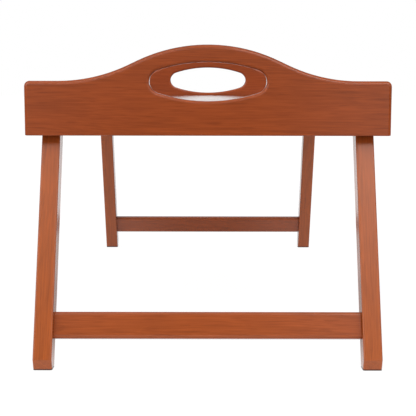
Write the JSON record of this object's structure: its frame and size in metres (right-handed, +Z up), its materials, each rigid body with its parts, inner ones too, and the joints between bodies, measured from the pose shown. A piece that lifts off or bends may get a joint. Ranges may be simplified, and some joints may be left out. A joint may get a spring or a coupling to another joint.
{
  "type": "breakfast tray with folding legs",
  "caption": "Stained wooden breakfast tray for bed use, with arched end panels, oval handle holes, low side rails and splayed leg frames that fold flat under the floor.",
  "frame": {"origin": "on the ground under the middle of the tray, legs spread", "axes": "+Z up, +Y along the tray from the front end to the rear end, +X to the right seen from the front"},
  "size_m": [0.3, 0.614, 0.2554],
  "materials": {
    "stained_wood": "reddish brown stain under a semi-gloss varnish, fine straight grain",
    "varnished_plywood": "reddish brown stained face veneer under a gloss varnish",
    "dowel_wood": "bare beech",
    "plated_steel": "nickel plated, satin",
    "brass": "turned brass"
  },
  "bodies": {
    "tray": {"front_end_panel": "stained_wood", "rear_end_panel": "stained_wood", "left_side_rail": "stained_wood", "right_side_rail": "stained_wood", "tray_floor": "varnished_plywood", "front_left_lower_dowel": "dowel_wood", "front_left_upper_dowel": "dowel_wood", "front_right_lower_dowel": "dowel_wood", "front_right_upper_dowel": "dowel_wood", "rear_left_lower_dowel": "dowel_wood", "rear_left_upper_dowel": "dowel_wood", "rear_right_lower_dowel": "dowel_wood", "rear_right_upper_dowel": "dowel_wood", "front_left_pivot_bolt": "plated_steel", "front_right_pivot_bolt": "plated_steel", "rear_left_pivot_bolt": "plated_steel", "rear_right_pivot_bolt": "plated_steel", "front_left_threaded_insert": "brass", "front_right_threaded_insert": "brass", "rear_left_threaded_insert": "brass", "rear_right_threaded_insert": "brass", "front_left_spacer_washer": "plated_steel", "front_left_head_washer": "plated_steel", "front_right_spacer_washer": "plated_steel", "front_right_head_washer": "plated_steel", "rear_left_spacer_washer": "plated_steel", "rear_left_head_washer": "plated_steel", "rear_right_spacer_washer": "plated_steel", "rear_right_head_washer": "plated_steel"},
    "front_legs": {"front_left_leg": "stained_wood", "front_right_leg": "stained_wood", "front_stretcher": "stained_wood"},
    "rear_legs": {"rear_left_leg": "stained_wood", "rear_right_leg": "stained_wood", "rear_stretcher": "stained_wood"}
  },
  "joints": [
    {"name": "front_leg_fold", "type": "hinge", "parent": "tray", "child": "front_legs", "pos_m": [0, -0.22409, 0.19205], "axis": [1, 0, 0], "range_deg": [0, 111.8]},
    {"name": "rear_leg_fold", "type": "hinge", "parent": "tray", "child": "rear_legs", "pos_m": [0, 0.22409, 0.19205], "axis": [-1, 0, 0], "range_deg": [0, 111.8]}
  ]
}
